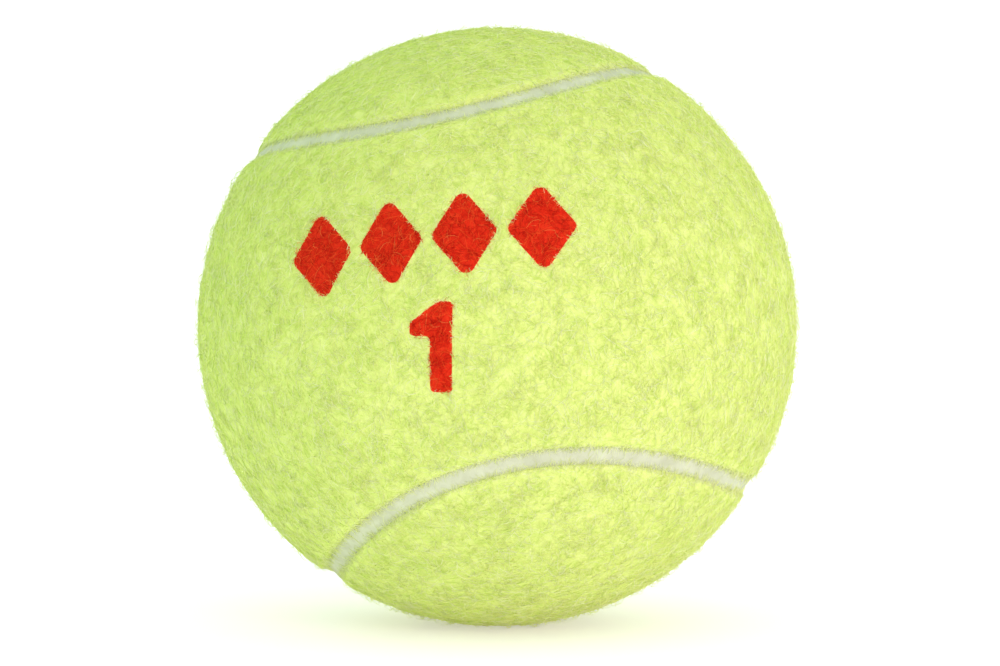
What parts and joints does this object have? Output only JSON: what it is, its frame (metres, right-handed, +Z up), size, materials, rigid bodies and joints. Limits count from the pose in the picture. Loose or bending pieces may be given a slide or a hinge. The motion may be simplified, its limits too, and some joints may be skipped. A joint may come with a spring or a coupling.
{
  "type": "tennis ball",
  "caption": "Pressurised tennis ball: hollow rubber core under a yellow-green felt cover with an off-white rubber seam and a red print.",
  "frame": {"origin": "centre of the ball", "axes": "+Z up; the print faces -Y, a little to the left and upwards; the core's parting line lies in the XY plane"},
  "size_m": [0.0666, 0.0666, 0.0666],
  "materials": {
    "core_rubber": "matte moulded rubber",
    "joint_cement": "dull cured cement",
    "cover_cement": "dull cured cement",
    "felt": "raised wool and nylon nap",
    "seam": "matte off-white rubber",
    "ink": "red ink soaked into the nap"
  },
  "bodies": {
    "root": {"core_half_upper": "core_rubber", "core_half_lower": "core_rubber", "core_joint_cement": "joint_cement", "cover_cement": "cover_cement", "felt_panel_printed": "felt", "felt_panel_plain": "felt", "seam_rubber": "seam", "print_mark": "ink", "print_numeral": "ink"}
  },
  "joints": []
}
